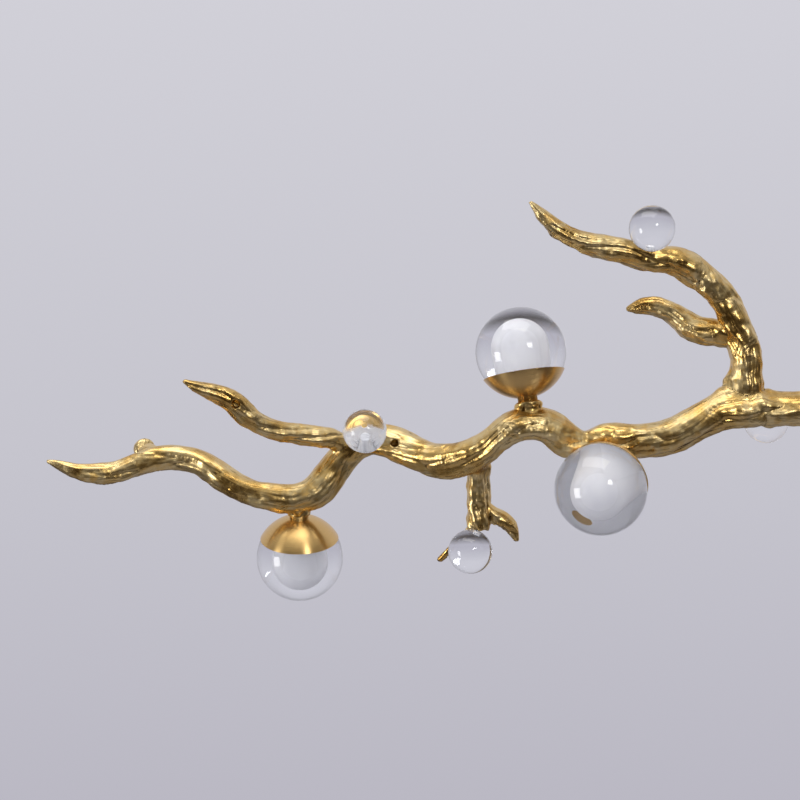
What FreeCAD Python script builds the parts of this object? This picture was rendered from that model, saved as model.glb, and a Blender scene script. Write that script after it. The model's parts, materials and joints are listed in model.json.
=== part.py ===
import FreeCAD, Part
import math
import os
from FreeCAD import Placement, Rotation, Vector

# Branch chandelier: cast brass branches on a short trunk, with crystal globe lamps and
# small crystal beads, hung from a ceiling canopy on one stem.
# Millimetres, +Z up, X along the branches. The origin is the centre of the ceiling face,
# and the chandelier hangs below it. Castings and lamps are drawn about the hub, the point
# where the stem's axis meets the trunk's axis, and are lowered to it when they are written.
# The left branch is at -X. The right one is the same set of castings turned half round.

os.makedirs("parts", exist_ok=True)

# Overall sizes
hang_drop = 600.0            # ceiling to the trunk's axis
branch_reach = 757.0         # stem axis to the tip of the branch
trunk_diameter = 31.0        # thickness of the casting beside the hub

# Joints between castings
trunk_half = 112.0           # stem axis to the seam of each arm
knuckle_x = 267.0            # stem axis to the seam of inner and outer arm
tenon_diameter = 19.0        # arm tenon in the next casting's socket
tenon_length = 20.0
twig_tenon_diameter = 11.0   # tenon under an antler or a twig
joint_clearance = 0.15       # radial, all tenons and pins in castings
socket_depth_room = 0.5      # free depth behind a tenon or pin
screw_diameter = 5.0         # set screw through a socket's wall
screw_length = 6.0

# Lamps
globe_diameter = 80.0
bore_diameter = 34.0         # blind bore of the globe, with a round end
bore_past_centre = 20.0      # how far the bore runs past the globe's centre
cap_wall = 0.9
cap_gap = 0.3                # between the cap and the globe
cap_half_angle = 61.0        # degrees from the lamp's axis to the rim
neck_diameter = 17.6
neck_height = 3.0
plug_wall = 1.6              # threaded plug in the cap, which carries the globe
thread_gap = 0.3             # between the plug and the ferrule
ferrule_wall = 1.95
bond_gap = 0.05              # adhesive between ferrule and globe
ferrule_length = 11.0
nipple_diameter = 10.0
nipple_bore = 7.0
nipple_seat = 12.0           # length of the nipple inside the casting
bulb_diameter = 12.0
bulb_past_centre = 6.0       # how far the bulb runs past the globe's centre
bulb_pin_diameter = 0.8
bulb_pin_length = 7.0
bulb_pin_spacing = 4.0
holder_height = 11.0
small_gap = 0.3              # seated pieces that come apart by hand

# Beads
bead_diameter = 40.0
bead_gap = 2.2               # bead to casting
bead_pin_diameter = 4.0
bead_pin_depth = 9.0         # length of the pin inside the bead
bead_pin_seat = 5.0          # length of the pin inside the casting

# Stem, swivel, canopy
stem_diameter = 13.0
stem_wall = 1.5
stem_seat = 18.0             # length of the stem inside the trunk's boss
stem_boss_top = 24.0         # top of the boss over the trunk's axis
collar_height = 8.0
swivel_ball_diameter = 18.0
swivel_gap = 0.15
canopy_diameter = 130.0
canopy_depth = 40.0
canopy_wall = 1.2
canopy_ring_height = 12.0
slide_gap = 0.4              # canopy and its ring around the stem

# Ceiling plate
plate_diameter = 104.0
plate_thickness = 2.0
plate_drop = 6.0             # ceiling to the top of the dished middle
plate_screw_spacing = 94.0
plate_screw_hole = 5.0
cable_hole_diameter = 10.0
cable_hole_place = Vector(-20.0, -20.0, 0.0)
driver_size = Vector(62.0, 24.0, 17.0)
driver_place = Vector(0.0, 30.0, 0.0)
terminal_size = Vector(30.0, 14.0, 13.0)
terminal_place = Vector(12.0, -27.0, 0.0)
plate_bolt_diameter = 3.0
plate_bolt_grip = 5.0        # length of a bolt under the plate

# The spines below were drawn for these two sizes and follow them when they change.
reach_scale = branch_reach / 757.0
girth_scale = trunk_diameter / 31.0

up = Vector(0, 0, 1)
origin = Vector(0, 0, 0)

# Spines of the left castings: x, y, z from the hub and the mean radius there.
trunk_line = [(trunk_half, 0, 0, 15.5), (78, 1, 0, 15.5), (40, -1, 2, 16.5), (0, 0, 2, 18.5),
              (-40, 1, 2, 16.5), (-78, -1, 0, 15.5), (-trunk_half, 0, 0, 15.5)]
branch_line = [(-112, 0, 0, 15.5), (-132, 0, -1, 16.0), (-150, 0, -3, 15.8), (-167, 2, -11, 15.0),
               (-184, 4, -20, 14.6), (-200, 6, -26, 15.0), (-215, 8, -28, 15.0),
               (-230, 8, -28, 15.0), (-244, 8, -26, 14.5), (-255, 7, -26, 13.5),
               (-267, 6, -30, 12.5), (-282, 5, -29, 15.5), (-295, 2, -20, 15.5),
               (-309, -3, -13, 15.0), (-323, -6, -13, 14.5), (-337, -3, -18, 14.0),
               (-349, 2, -28, 12.4), (-361, 9, -37, 13.8), (-375, 18, -44, 15.0),
               (-390, 29, -47, 16.5), (-406, 40, -45, 16.0), (-424, 51, -37, 16.0),
               (-441, 60, -30, 15.5), (-459, 67, -29, 14.0), (-473, 70, -34, 13.5),
               (-483, 70, -43, 13.5), (-492, 70, -54, 13.5), (-500, 68, -65, 14.5),
               (-508, 66, -75, 14.5), (-520, 65, -81, 13.5), (-533, 64, -83, 12.5),
               (-545, 64, -82, 13.0), (-566, 66, -78, 12.0), (-582, 69, -71, 12.5),
               (-599, 72, -60, 13.0), (-615, 76, -50, 12.5),
               (-635, 79, -45, 11.5), (-656, 80, -46, 11.5), (-674, 80, -52, 10.5),
               (-692, 79, -59, 10.0), (-712, 77, -60, 9.5), (-729, 75, -58, 7.5),
               (-743, 73, -53, 5.5), (-754, 72, -49, 3.5), (-757, 71, -48, 1.5)]
antler_line = [(-127, 2, 4, 11.0), (-127, 2, 12, 14.0), (-127, 2, 20, 16.0), (-126, 2, 29, 14.2),
               (-126, 1, 41, 13.8), (-129, 0, 58, 14.5), (-135, -2, 74, 13.0),
               (-143, -4, 90, 13.0), (-153, -6, 104, 12.5), (-166, -8, 115, 12.5),
               (-181, -10, 126, 13.2), (-197, -12, 131, 12.0), (-213, -14, 130, 10.2),
               (-231, -17, 136, 11.5), (-249, -20, 140, 11.5), (-267, -23, 143, 10.5),
               (-283, -26, 149, 8.5), (-297, -29, 157, 7.5), (-309, -32, 168, 5.5),
               (-317, -34, 176, 4.0), (-320, -35, 179, 1.5)]
antler_spur_line = [(-134, -1, 66, 9.0), (-147, 3, 67, 11.5), (-161, 7, 69, 11.5),
                    (-172, 11, 72, 11.5), (-181, 15, 80, 10.0), (-192, 19, 87, 9.0),
                    (-204, 22, 93, 9.0), (-216, 25, 92, 7.5), (-225, 27, 90, 5.0),
                    (-229, 28, 89, 2.0)]
side_twig_line = [(-475, 69, -38, 6.0), (-484, 65, -32, 8.5), (-494, 60, -27, 9.5),
                  (-506, 55, -25, 9.5), (-523, 49, -23, 9.0), (-537, 43, -21, 8.5),
                  (-549, 38, -18, 9.0), (-562, 33, -12, 9.0), (-574, 28, 0, 10.5),
                  (-585, 24, 10, 9.5), (-597, 20, 15, 8.0), (-609, 16, 18, 7.0),
                  (-618, 13, 22, 4.5), (-624, 11, 25, 2.0)]
fork_line = [(-360, 15, -40, 7.0), (-360, 25, -45, 9.5), (-360, 35, -53, 11.0),
             (-361, 43, -67, 11.5), (-361, 46, -83, 11.0), (-361, 47, -97, 11.0),
             (-361, 47, -110, 10.5)]
fork_tip_line = [(-361, 47, -88, 8.0), (-353, 47, -93, 8.0), (-345, 48, -97, 8.0),
                 (-335, 49, -102, 7.5), (-329, 51, -109, 6.0), (-326, 52, -117, 4.0),
                 (-325, 53, -121, 2.0)]
fork_spike_line = [(-363, 50, -99, 4.5), (-371, 60, -115, 3.2), (-384, 70, -128, 3.0),
                   (-395, 78, -140, 3.0)]


class Limb:
    # A cast limb: a smooth spine through its stations, with sections that have two, three
    # and five soft lobes. The lobes turn slowly along the limb and read as flowing ridges.

    ring_points = 14
    ring_step = 10.0
    frame_step = 4.0
    pull = 3.0 / (2.0 + math.cos(2 * math.pi / 14))
    lobes = [(2, 0.055, 190.0), (3, 0.045, -150.0), (5, 0.020, 95.0)]

    def __init__(self, line, phase=0.0, start_along=None, end_along=None):
        self.phase = phase
        self.points = [Vector(x, y, z) * reach_scale for x, y, z, radius in line]
        self.radii = [radius * girth_scale for x, y, z, radius in line]
        self.knots = [0.0]
        for near, far in zip(self.points, self.points[1:]):
            self.knots.append(self.knots[-1] + (far - near).Length)
        tangents = [(far - near).normalize() for near, far in zip(self.points, self.points[1:])]
        tangents.append(tangents[-1])
        held = [False] * len(self.points)
        if start_along:
            tangents[0] = start_along
            held[0] = True
        if end_along:
            tangents[-1] = end_along
            held[-1] = True
        self.spine = Part.BSplineCurve()
        self.spine.interpolate(Points=self.points, Tangents=tangents, TangentFlags=held,
                               Parameters=self.knots, Scale=False)
        self.length = self.knots[-1]

    def at(self, t):
        return self.spine.value(t)

    def along(self, t):
        return self.spine.tangent(t)[0]

    def near(self, x):
        # The place on the spine whose drawn x is nearest to the given one.
        steps = int(self.length)
        places = [self.length * i / steps for i in range(steps + 1)]
        return min(places, key=lambda t: abs(self.at(t).x - x * reach_scale))

    def radius(self, t):
        for i in range(len(self.knots) - 1):
            if t <= self.knots[i + 1]:
                share = (t - self.knots[i]) / (self.knots[i + 1] - self.knots[i])
                share = share * share * (3 - 2 * share)
                return self.radii[i] + (self.radii[i + 1] - self.radii[i]) * share
        return self.radii[-1]

    def side(self, t):
        # A direction across the spine, carried along it without twist.
        along = self.along(0.0)
        across = along.cross(up)
        if across.Length < 0.3:
            across = along.cross(Vector(0, 1, 0))
        steps = max(1, int(t / self.frame_step))
        for i in range(steps + 1):
            along = self.along(t * i / steps)
            across = (across - along * across.dot(along)).normalize()
        return across

    def ring(self, t, factor=1.0):
        # The control points of the section at t. They stand a little outside the surface.
        centre = self.at(t)
        across = self.side(t)
        above = self.along(t).cross(across)
        size = self.radius(t) * factor * self.pull
        points = []
        for i in range(self.ring_points):
            angle = 2 * math.pi * i / self.ring_points
            swell = 1.0
            for count, depth, pitch in self.lobes:
                swell += depth * math.cos(count * angle + self.phase + 2 * math.pi * t / pitch)
            offset = across * math.cos(angle) + above * math.sin(angle)
            points.append(centre + offset * size * swell)
        return points

    def body(self, start, end, rolled_start=False, rolled_end=False):
        # The casting between two places on the spine, as one smooth skin and two flat ends.
        # A rolled end draws in to its seam behind a soft lip.
        count = max(4, int((end - start) / self.ring_step))
        places = [(start + (end - start) * i / count, 1.0) for i in range(count + 1)]
        lip = [(0.0, 0.90), (1.5, 0.99), (4.5, 1.06)]
        if rolled_start:
            places = [(start + d, f) for d, f in lip] + [p for p in places if p[0] > start + 9]
        if rolled_end:
            places = [p for p in places if p[0] < end - 9] + [(end - d, f) for d, f in lip[::-1]]
        rings = [self.ring(t, factor) for t, factor in places]
        skin = Part.BSplineSurface()
        spans = len(rings) - 3
        skin.buildFromPolesMultsKnots(
            [list(points) for points in zip(*rings)],
            [1] * (self.ring_points + 1), [4] + [1] * (spans - 1) + [4],
            list(range(self.ring_points + 1)), list(range(spans + 1)), True, False, 3, 3)
        faces = [skin.toShape()]
        for height in (0, spans):
            edge = skin.vIso(height).toShape()
            faces.append(Part.Face(Part.Wire(edge)))
        shell = Part.makeShell(faces)
        shell.sewShape()
        solid = Part.Solid(shell)
        if solid.Volume < 0:
            solid.reverse()
        return solid


def rod(diameter, start, end):
    # A round bar between two points.
    return Part.makeCylinder(diameter / 2, (end - start).Length, start, end - start)


def disc(diameter, low, high):
    return Part.makeCylinder(diameter / 2, high - low, Vector(0, 0, low))


def ball(diameter, height=0.0):
    return Part.makeSphere(diameter / 2, Vector(0, 0, height), up, -90, 90, 360)


def lathe(outline):
    # A turned piece from its half outline: radius and height, corner by corner.
    points = [Vector(radius, 0, height) for radius, height in outline]
    wire = Part.makePolygon(points + points[:1])
    return Part.Face(wire).revolve(origin, up, 360)


def hexagon(across_flats, low, high):
    corner = across_flats / math.sqrt(3)
    points = [Vector(corner * math.cos(math.radians(60 * i)),
                     corner * math.sin(math.radians(60 * i)), low) for i in range(7)]
    return Part.Face(Part.makePolygon(points)).extrude(Vector(0, 0, high - low))


def stand(shape, place, aim):
    # Moves a piece drawn on the Z axis so that +Z points along aim.
    moved = shape.copy()
    moved.Placement = Placement(place, Rotation(up, aim))
    return moved


def turned(shape):
    # The same piece on the other side of the stem.
    copy = shape.copy()
    copy.rotate(origin, up, 180)
    return copy


def write_fixed(name, shape):
    shape.exportStep("parts/" + name + ".step")
    print(name, len(shape.Solids), round(shape.Volume), "mm3, valid:", shape.isValid())


def write(name, shape):
    lowered = shape.copy()
    lowered.translate(Vector(0, 0, -hang_drop))
    write_fixed(name, lowered)


# Castings

trunk = Limb(trunk_line, 0.4, Vector(-1, 0, 0), Vector(-1, 0, 0))
branch = Limb(branch_line, 0.0, Vector(-1, 0, 0))
antler = Limb(antler_line, 1.2, Vector(0, 0, 1))
antler_spur = Limb(antler_spur_line, 2.1)
side_twig = Limb(side_twig_line, 0.8)
fork = Limb(fork_line, 1.7, end_along=Vector(0, 0, -1))
fork_tip = Limb(fork_tip_line, 0.3)
fork_spike = Limb(fork_spike_line, 0.9)

knuckle = branch.near(-knuckle_x)
trunk_raw = trunk.body(0.0, trunk.length, rolled_start=True, rolled_end=True)
inner_raw = branch.body(0.0, knuckle, rolled_start=True, rolled_end=True)
outer_raw = branch.body(knuckle, branch.length, rolled_start=True)

# The lamps of one side: place on the branch, shift of the foot off the spine, aim from
# the casting to the globe, how far the cast collar stands beyond the limb's radius, and how
# far its ring swells beyond the neck.
lamps = [
    {"x": -525, "shift": Vector(0, 0, 0), "aim": Vector(0, 0.342, -0.940),
     "proud": 2.5, "bulge": 0.8},
    {"x": -317, "shift": Vector(0, 0, 0), "aim": Vector(-0.137, 0.113, 0.984),
     "proud": 4.5, "bulge": 3.4},
    {"x": -232, "shift": Vector(0, 0, -10), "aim": Vector(-0.455, -0.707, -0.542),
     "proud": -1.2, "bulge": 3.4},
]
for lamp in lamps:
    place = branch.near(lamp["x"])
    lamp["aim"].normalize()
    lamp["foot"] = branch.at(place) + lamp["shift"] * girth_scale
    lamp["seat"] = lamp["foot"] + lamp["aim"] * (branch.radius(place) + lamp["proud"])
    rise = neck_height + cap_wall + cap_gap + globe_diameter / 2
    lamp["centre"] = lamp["seat"] + lamp["aim"] * rise

# The beads of one side: the limb that carries each, its place there and its aim.
beads = [
    {"limb": branch, "place": branch.near(-463), "aim": Vector(0, -35, 10)},
    {"limb": antler, "place": antler.near(-214), "aim": Vector(0, -20, 26)},
    {"limb": trunk, "place": trunk.near(-102), "aim": Vector(0, 36, -11)},
    {"limb": fork, "place": fork.length, "aim": Vector(-7, -9, -18)},
]
for bead in beads:
    bead["aim"].normalize()
    reach = 0.0 if bead["limb"] is fork else bead["limb"].radius(bead["place"])
    bead["seat"] = bead["limb"].at(bead["place"]) + bead["aim"] * reach
    bead["centre"] = bead["seat"] + bead["aim"] * (bead_gap + bead_diameter / 2)


def bead_drill(bead):
    # The hole in the casting for a bead's pin, with the shallow dish that the bead lies in.
    hole = bead_pin_diameter + 2 * joint_clearance
    depth = bead_pin_seat + socket_depth_room
    drill = rod(hole, bead["seat"] - bead["aim"] * depth, bead["seat"] + bead["aim"] * 12)
    dish = Part.makeSphere(bead_diameter / 2 + small_gap, bead["centre"])
    return drill.fuse(dish)


def lamp_collar(lamp):
    # The cast ring that a lamp's neck stands on.
    height = (lamp["seat"] - lamp["foot"]).Length
    waist = neck_diameter / 2 + 1.2
    bulge = neck_diameter / 2 + lamp["bulge"]
    ring = lathe([(0, 2), (waist, 2), (waist, height - 6.5), (bulge, height - 4.6),
                  (bulge, height - 2.0), (waist, height), (0, height)])
    return stand(ring, lamp["foot"], lamp["aim"])


def lamp_drill(lamp):
    hole = nipple_diameter + 2 * joint_clearance
    depth = nipple_seat + socket_depth_room
    return rod(hole, lamp["seat"] - lamp["aim"] * depth, lamp["seat"] + lamp["aim"] * 4)


def tenon(start, along):
    # The round tenon of an arm, rooted behind its seam and standing along the spine.
    return rod(tenon_diameter, start - along * 12, start + along * tenon_length)


def tenon_socket(start, along):
    hole = tenon_diameter + 2 * joint_clearance
    depth = tenon_length + socket_depth_room
    return rod(hole, start - along * 5, start + along * depth)


def set_screw(start, along, across, extra=0.0):
    # A set screw in the wall of a socket, or its hole where extra is its clearance.
    middle = start + along * tenon_length / 2
    tip = tenon_diameter / 2 + 0.1 - 4 * extra
    tail = tip + screw_length + 40 * extra
    return rod(screw_diameter + 2 * extra, middle + across * tip, middle + across * tail)


def pit(limb, x, diameter, depth):
    # A plain drilled pit in the face towards the viewer.
    place = limb.near(x)
    surface = limb.at(place) - Vector(0, limb.radius(place), 0)
    return rod(diameter, surface + Vector(0, depth, 0), surface - Vector(0, depth, 0))


def twig_tenon(limb, root, tip, extra=0.0):
    # The tenon under a twig, from its root inside the twig to its tip in the branch.
    start = limb.at(root)
    end = limb.at(tip)
    along = (end - start).normalize()
    return rod(twig_tenon_diameter + 2 * extra, start, end + along * 3 * extra)


seam = branch.at(0.0)
seam_in = branch.along(0.0) * -1
knuckle_seam = branch.at(knuckle)
knuckle_in = branch.along(knuckle) * -1
knuckle_down = knuckle_in.cross(Vector(0, 1, 0)).normalize()
if knuckle_down.z > 0:
    knuckle_down = knuckle_down * -1

# Where each twig's tenon is rooted and where it ends, in mm along the twig's spine.
antler_tenon = (34.0, 4.0)
side_tenon = (30.0, 8.0)
fork_tenon = (22.0, 1.5)


def make_trunk():
    foot = trunk_diameter * 0.5
    boss = lathe([(0, 0), (foot, 0), (foot, 9), (stem_diameter / 2 + 8, 17),
                  (stem_diameter / 2 + 6, stem_boss_top), (0, stem_boss_top)])
    casting = trunk_raw.fuse(boss)
    bore = disc(stem_diameter + 2 * joint_clearance,
                stem_boss_top - stem_seat - socket_depth_room, stem_boss_top + 5)
    side = [tenon_socket(seam, seam_in), set_screw(seam, seam_in, up * -1, joint_clearance),
            bead_drill(beads[2])]
    return casting.cut([bore] + side + [turned(tool) for tool in side])


def make_inner_arm():
    casting = inner_raw.fuse([tenon(seam, seam_in), lamp_collar(lamps[2])])
    return casting.cut([tenon_socket(knuckle_seam, knuckle_in), lamp_drill(lamps[2]),
                        set_screw(knuckle_seam, knuckle_in, knuckle_down, joint_clearance),
                        twig_tenon(antler, *antler_tenon, joint_clearance)])


def make_outer_arm():
    knob_root = branch.at(branch.near(-658))
    knob_tip = knob_root + Vector(-13, 20, 8)
    knob = rod(18, knob_root, knob_tip).fuse(Part.makeSphere(10.5, knob_tip))
    casting = outer_raw.fuse([tenon(knuckle_seam, knuckle_in), lamp_collar(lamps[0]),
                              lamp_collar(lamps[1]), knob])
    return casting.cut([lamp_drill(lamps[0]), lamp_drill(lamps[1]), bead_drill(beads[0]),
                        twig_tenon(side_twig, *side_tenon, joint_clearance),
                        twig_tenon(fork, *fork_tenon, joint_clearance),
                        pit(branch, -437, 6.4, 8)])


def make_antler():
    casting = antler.body(0.0, antler.length)
    casting = casting.fuse(antler_spur.body(0.0, antler_spur.length))
    casting = casting.cut(inner_raw).fuse(twig_tenon(antler, *antler_tenon))
    return casting.cut(bead_drill(beads[1]))


def make_side_twig():
    casting = side_twig.body(0.0, side_twig.length).cut(outer_raw)
    casting = casting.fuse(twig_tenon(side_twig, *side_tenon))
    return casting.cut(pit(side_twig, -578, 7.6, 8))


def make_fork_twig():
    casting = fork.body(0.0, fork.length, rolled_end=True).cut(outer_raw)
    casting = casting.fuse([fork_tip.body(0.0, fork_tip.length),
                            fork_spike.body(0.0, fork_spike.length),
                            twig_tenon(fork, *fork_tenon)])
    return casting.cut(bead_drill(beads[3]))


# Lamp pieces, drawn about the globe's centre with the lamp's aim along +Z

globe_radius = globe_diameter / 2
cap_inner = globe_radius + cap_gap
cap_outer = cap_inner + cap_wall
plug_radius = bore_diameter / 2 - bond_gap - ferrule_wall - thread_gap
plug_floor = -(globe_radius - 4.0)
holder_top = plug_floor + holder_height
bulb_foot = holder_top + small_gap
plug_top = holder_top + 0.5
bore_mouth = -math.sqrt(globe_radius ** 2 - (bore_diameter / 2) ** 2)


def make_globe():
    end_centre = bore_past_centre - bore_diameter / 2
    bore = disc(bore_diameter, -globe_radius - 1, end_centre).fuse(ball(bore_diameter, end_centre))
    return ball(globe_diameter).cut(bore)


def make_ferrule():
    outer = bore_diameter - 2 * bond_gap
    inner = outer - 2 * ferrule_wall
    low = bore_mouth + 0.4
    return disc(outer, low, low + ferrule_length).cut(disc(inner, low - 1, low + 20))


def make_cap():
    rim = -cap_outer * math.cos(math.radians(cap_half_angle))
    below_rim = disc(3 * globe_radius, -2 * globe_radius, rim)
    shell = ball(2 * cap_outer).cut(ball(2 * cap_inner)).common(below_rim)
    plug = disc(2 * plug_radius, -2 * globe_radius, plug_top).common(ball(2 * cap_outer))
    neck_bottom = -cap_outer - neck_height
    neck = disc(neck_diameter, neck_bottom, plug_floor)
    recess = disc(2 * (plug_radius - plug_wall), plug_floor, 0)
    hole = disc(nipple_diameter + 2 * joint_clearance, neck_bottom - 1, plug_floor + 1)
    return shell.fuse([plug, neck]).cut([recess, hole])


def make_nipple():
    low = -cap_outer - neck_height - nipple_seat
    high = plug_floor - small_gap
    return disc(nipple_diameter, low, high).cut(disc(nipple_bore, low - 1, high + 1))


def make_holder():
    radius = plug_radius - plug_wall - small_gap
    body = disc(2 * radius, plug_floor, holder_top)
    wire_hole = disc(nipple_bore, plug_floor - 1, plug_floor + 2)
    pins = [pin_hole(side) for side in (-1, 1)]
    return body.cut([wire_hole] + pins)


def pin_hole(side):
    hole = bulb_pin_diameter + 2 * small_gap
    depth = bulb_pin_length + 1.0
    place = Vector(side * bulb_pin_spacing / 2, 0, holder_top - depth)
    return Part.makeCylinder(hole / 2, depth + 1, place)


def make_bulb():
    radius = bulb_diameter / 2
    dome = bulb_past_centre - radius
    body = disc(bulb_diameter, bulb_foot, dome).fuse(ball(bulb_diameter, dome))
    pins = [Part.makeCylinder(bulb_pin_diameter / 2, bulb_pin_length + 1,
                              Vector(side * bulb_pin_spacing / 2, 0, bulb_foot - bulb_pin_length))
            for side in (-1, 1)]
    return body.fuse(pins)


def make_bead():
    # Drawn with the casting at -Z.
    hole = bead_pin_diameter + 2 * joint_clearance
    depth = bead_pin_depth + socket_depth_room
    low = -bead_diameter / 2
    return ball(bead_diameter).cut(disc(hole, low - 1, low + depth))


def make_bead_pin():
    low = -bead_diameter / 2 - bead_gap - bead_pin_seat
    return disc(bead_pin_diameter, low, -bead_diameter / 2 + bead_pin_depth)


# Stem, swivel, canopy and ceiling plate, in heights from the ceiling

plate_low = -plate_drop - plate_thickness
swivel_neck = 10.0
swivel_nut_height = 3.4
swivel_wall = 2.85
swivel_body = swivel_ball_diameter + 2 * (swivel_gap + swivel_wall)
swivel_centre = plate_low - swivel_ball_diameter / 2 - 3.0
swivel_ring_low = swivel_centre - swivel_ball_diameter / 3
stem_top = swivel_centre - 16.0
stem_bore = stem_diameter - 2 * stem_wall
stem_low = -hang_drop + stem_boss_top - stem_seat
driver_bolt = Vector(19.0, -8.0, 0.0)
plate_bolts = [driver_place + driver_bolt, driver_place + Vector(-driver_bolt.x, driver_bolt.y, 0),
               terminal_place]


def hole_at(diameter, place, low, high):
    return Part.makeCylinder(diameter / 2, high - low, Vector(place.x, place.y, low))


def make_ceiling_plate():
    # A pressed round plate: its rim lies on the ceiling and its middle is dished down.
    low = -plate_thickness
    flange = plate_screw_spacing / 2 - 6.0
    floor = flange - plate_drop
    rim = plate_diameter / 2
    dish = lathe([(0, -plate_drop), (floor, -plate_drop), (flange, 0), (rim, 0), (rim, low),
                  (flange + 0.8, low), (floor + 0.8, plate_low), (0, plate_low)])
    holes = [disc(swivel_neck + 2 * joint_clearance, plate_low - 1, 0),
             hole_at(cable_hole_diameter, cable_hole_place, plate_low - 1, 0)]
    for side in (-1, 1):
        place = Vector(side * plate_screw_spacing / 2, 0, 0)
        holes.append(hole_at(plate_screw_hole, place, low - 1, 1))
    for place in plate_bolts:
        holes.append(hole_at(plate_bolt_diameter + 2 * joint_clearance, place, plate_low - 1, 0))
    return dish.cut(holes)


def make_plate_bolts():
    # Round heads in the dish, shanks in the driver and the terminal block.
    bolts = []
    for place in plate_bolts:
        shank = disc(plate_bolt_diameter, plate_low - plate_bolt_grip, -plate_drop)
        bolt = shank.fuse(disc(2 * plate_bolt_diameter, -plate_drop, -plate_drop + 2))
        bolt.translate(place)
        bolts.append(bolt)
    return Part.Compound(bolts)


def box_under_plate(size, place):
    corner = place + Vector(-size.x / 2, -size.y / 2, plate_low - size.z)
    box = Part.makeBox(size.x, size.y, size.z, corner)
    upright = [edge for edge in box.Edges if abs(edge.tangentAt(edge.FirstParameter).z) > 0.9]
    depth = plate_bolt_grip + socket_depth_room
    hole = plate_bolt_diameter + 2 * joint_clearance
    drills = [hole_at(hole, bolt, plate_low - depth, 0) for bolt in plate_bolts]
    return box.makeFillet(1.5, upright).cut(drills)


def make_terminal_block():
    # Three wire holes run through the block from end to end of its short side.
    block = box_under_plate(terminal_size, terminal_place)
    holes = []
    for step in (-1, 0, 1):
        start = terminal_place + Vector(step * 9.5, -terminal_size.y, plate_low - 8.5)
        holes.append(Part.makeCylinder(1.6, 2 * terminal_size.y, start, Vector(0, 1, 0)))
    return block.cut(holes)


def make_swivel_socket():
    neck_top = -plate_drop + swivel_nut_height
    body = disc(swivel_body, swivel_centre, plate_low)
    body = body.fuse(disc(swivel_neck, plate_low - 1, neck_top))
    cavity = ball(swivel_ball_diameter + 2 * swivel_gap, swivel_centre)
    return body.cut([cavity, disc(nipple_bore, swivel_centre, neck_top + 1)])


def make_swivel_ring():
    # A union ring that closes the socket under the ball.
    high = swivel_centre + 6.0
    ring = disc(swivel_body + 5.0, swivel_ring_low, high)
    room = disc(swivel_body + 2 * joint_clearance, swivel_centre, high + 1)
    cavity = ball(swivel_ball_diameter + 2 * swivel_gap, swivel_centre)
    return ring.cut([room, cavity])


def make_swivel_nut():
    nut = hexagon(15.0, -plate_drop, -plate_drop + swivel_nut_height)
    return nut.cut(disc(swivel_neck + 2 * joint_clearance, -plate_drop - 1, 0))


def make_swivel_ball():
    spigot = disc(stem_bore - 2 * joint_clearance, stem_top - 12.0, swivel_centre)
    shoulder = disc(stem_diameter, stem_top, stem_top + 3.0)
    body = ball(swivel_ball_diameter, swivel_centre).fuse([spigot, shoulder])
    return body.cut(disc(nipple_bore - 1, stem_top - 13.0, swivel_centre + swivel_ball_diameter))


def make_stem():
    return disc(stem_diameter, stem_low, stem_top).cut(disc(stem_bore, stem_low - 1, stem_top + 1))


def make_stem_collar():
    low = -hang_drop + stem_boss_top
    outer = stem_diameter / 2 + 6.0
    inner = stem_diameter / 2 + joint_clearance
    high = low + collar_height
    return lathe([(inner, low), (outer, low), (outer, low + 3.0), (outer - 2.0, high - 2.0),
                  (outer - 4.0, high), (inner, high)])


def rounded_drum(diameter, low, high, edge_radius):
    drum = disc(diameter, low, high)
    bottom = [edge for edge in drum.Edges if edge.BoundBox.ZMax < low + 0.01]
    return drum.makeFillet(edge_radius, bottom)


def make_canopy():
    outer = rounded_drum(canopy_diameter, -canopy_depth, 0, 12.0)
    inner = rounded_drum(canopy_diameter - 2 * canopy_wall, -canopy_depth + canopy_wall, 1,
                         12.0 - canopy_wall)
    hole = disc(stem_diameter + 2 * slide_gap, -canopy_depth - 1, 0)
    return outer.cut([inner, hole])


def make_canopy_ring():
    low = -canopy_depth - canopy_ring_height
    inner = stem_diameter / 2 + slide_gap
    outer = inner + 5.0
    return lathe([(inner, low), (outer - 1.5, low), (outer, low + 1.5), (outer, -canopy_depth),
                  (inner, -canopy_depth)])


# Writing: the ceiling group stays where it is, and the rest is lowered to the hub.

write_fixed("ceiling_plate", make_ceiling_plate())
write_fixed("plate_bolts", make_plate_bolts())
write_fixed("led_driver", box_under_plate(driver_size, driver_place))
write_fixed("terminal_block", make_terminal_block())
write_fixed("swivel_socket", make_swivel_socket())
write_fixed("swivel_ring", make_swivel_ring())
write_fixed("swivel_nut", make_swivel_nut())
write_fixed("swivel_ball", make_swivel_ball())
write_fixed("stem", make_stem())
write_fixed("stem_collar", make_stem_collar())
write_fixed("canopy", make_canopy())
write_fixed("canopy_ring", make_canopy_ring())
write("centre_trunk", make_trunk())

castings = {
    "inner_arm": make_inner_arm(),
    "outer_arm": make_outer_arm(),
    "antler": make_antler(),
    "side_twig": make_side_twig(),
    "fork_twig": make_fork_twig(),
    "beads": Part.Compound([stand(make_bead(), bead["centre"], bead["aim"]) for bead in beads]),
}
for number, lamp in enumerate(lamps, 1):
    for piece, make in (("cap", make_cap), ("globe", make_globe), ("ferrule", make_ferrule),
                        ("holder", make_holder), ("bulb", make_bulb)):
        shape = stand(make(), lamp["centre"], lamp["aim"])
        castings["lamp_" + str(number) + "_" + piece] = shape
for name, shape in castings.items():
    write("left_" + name, shape)
    write("right_" + name, turned(shape))

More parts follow.
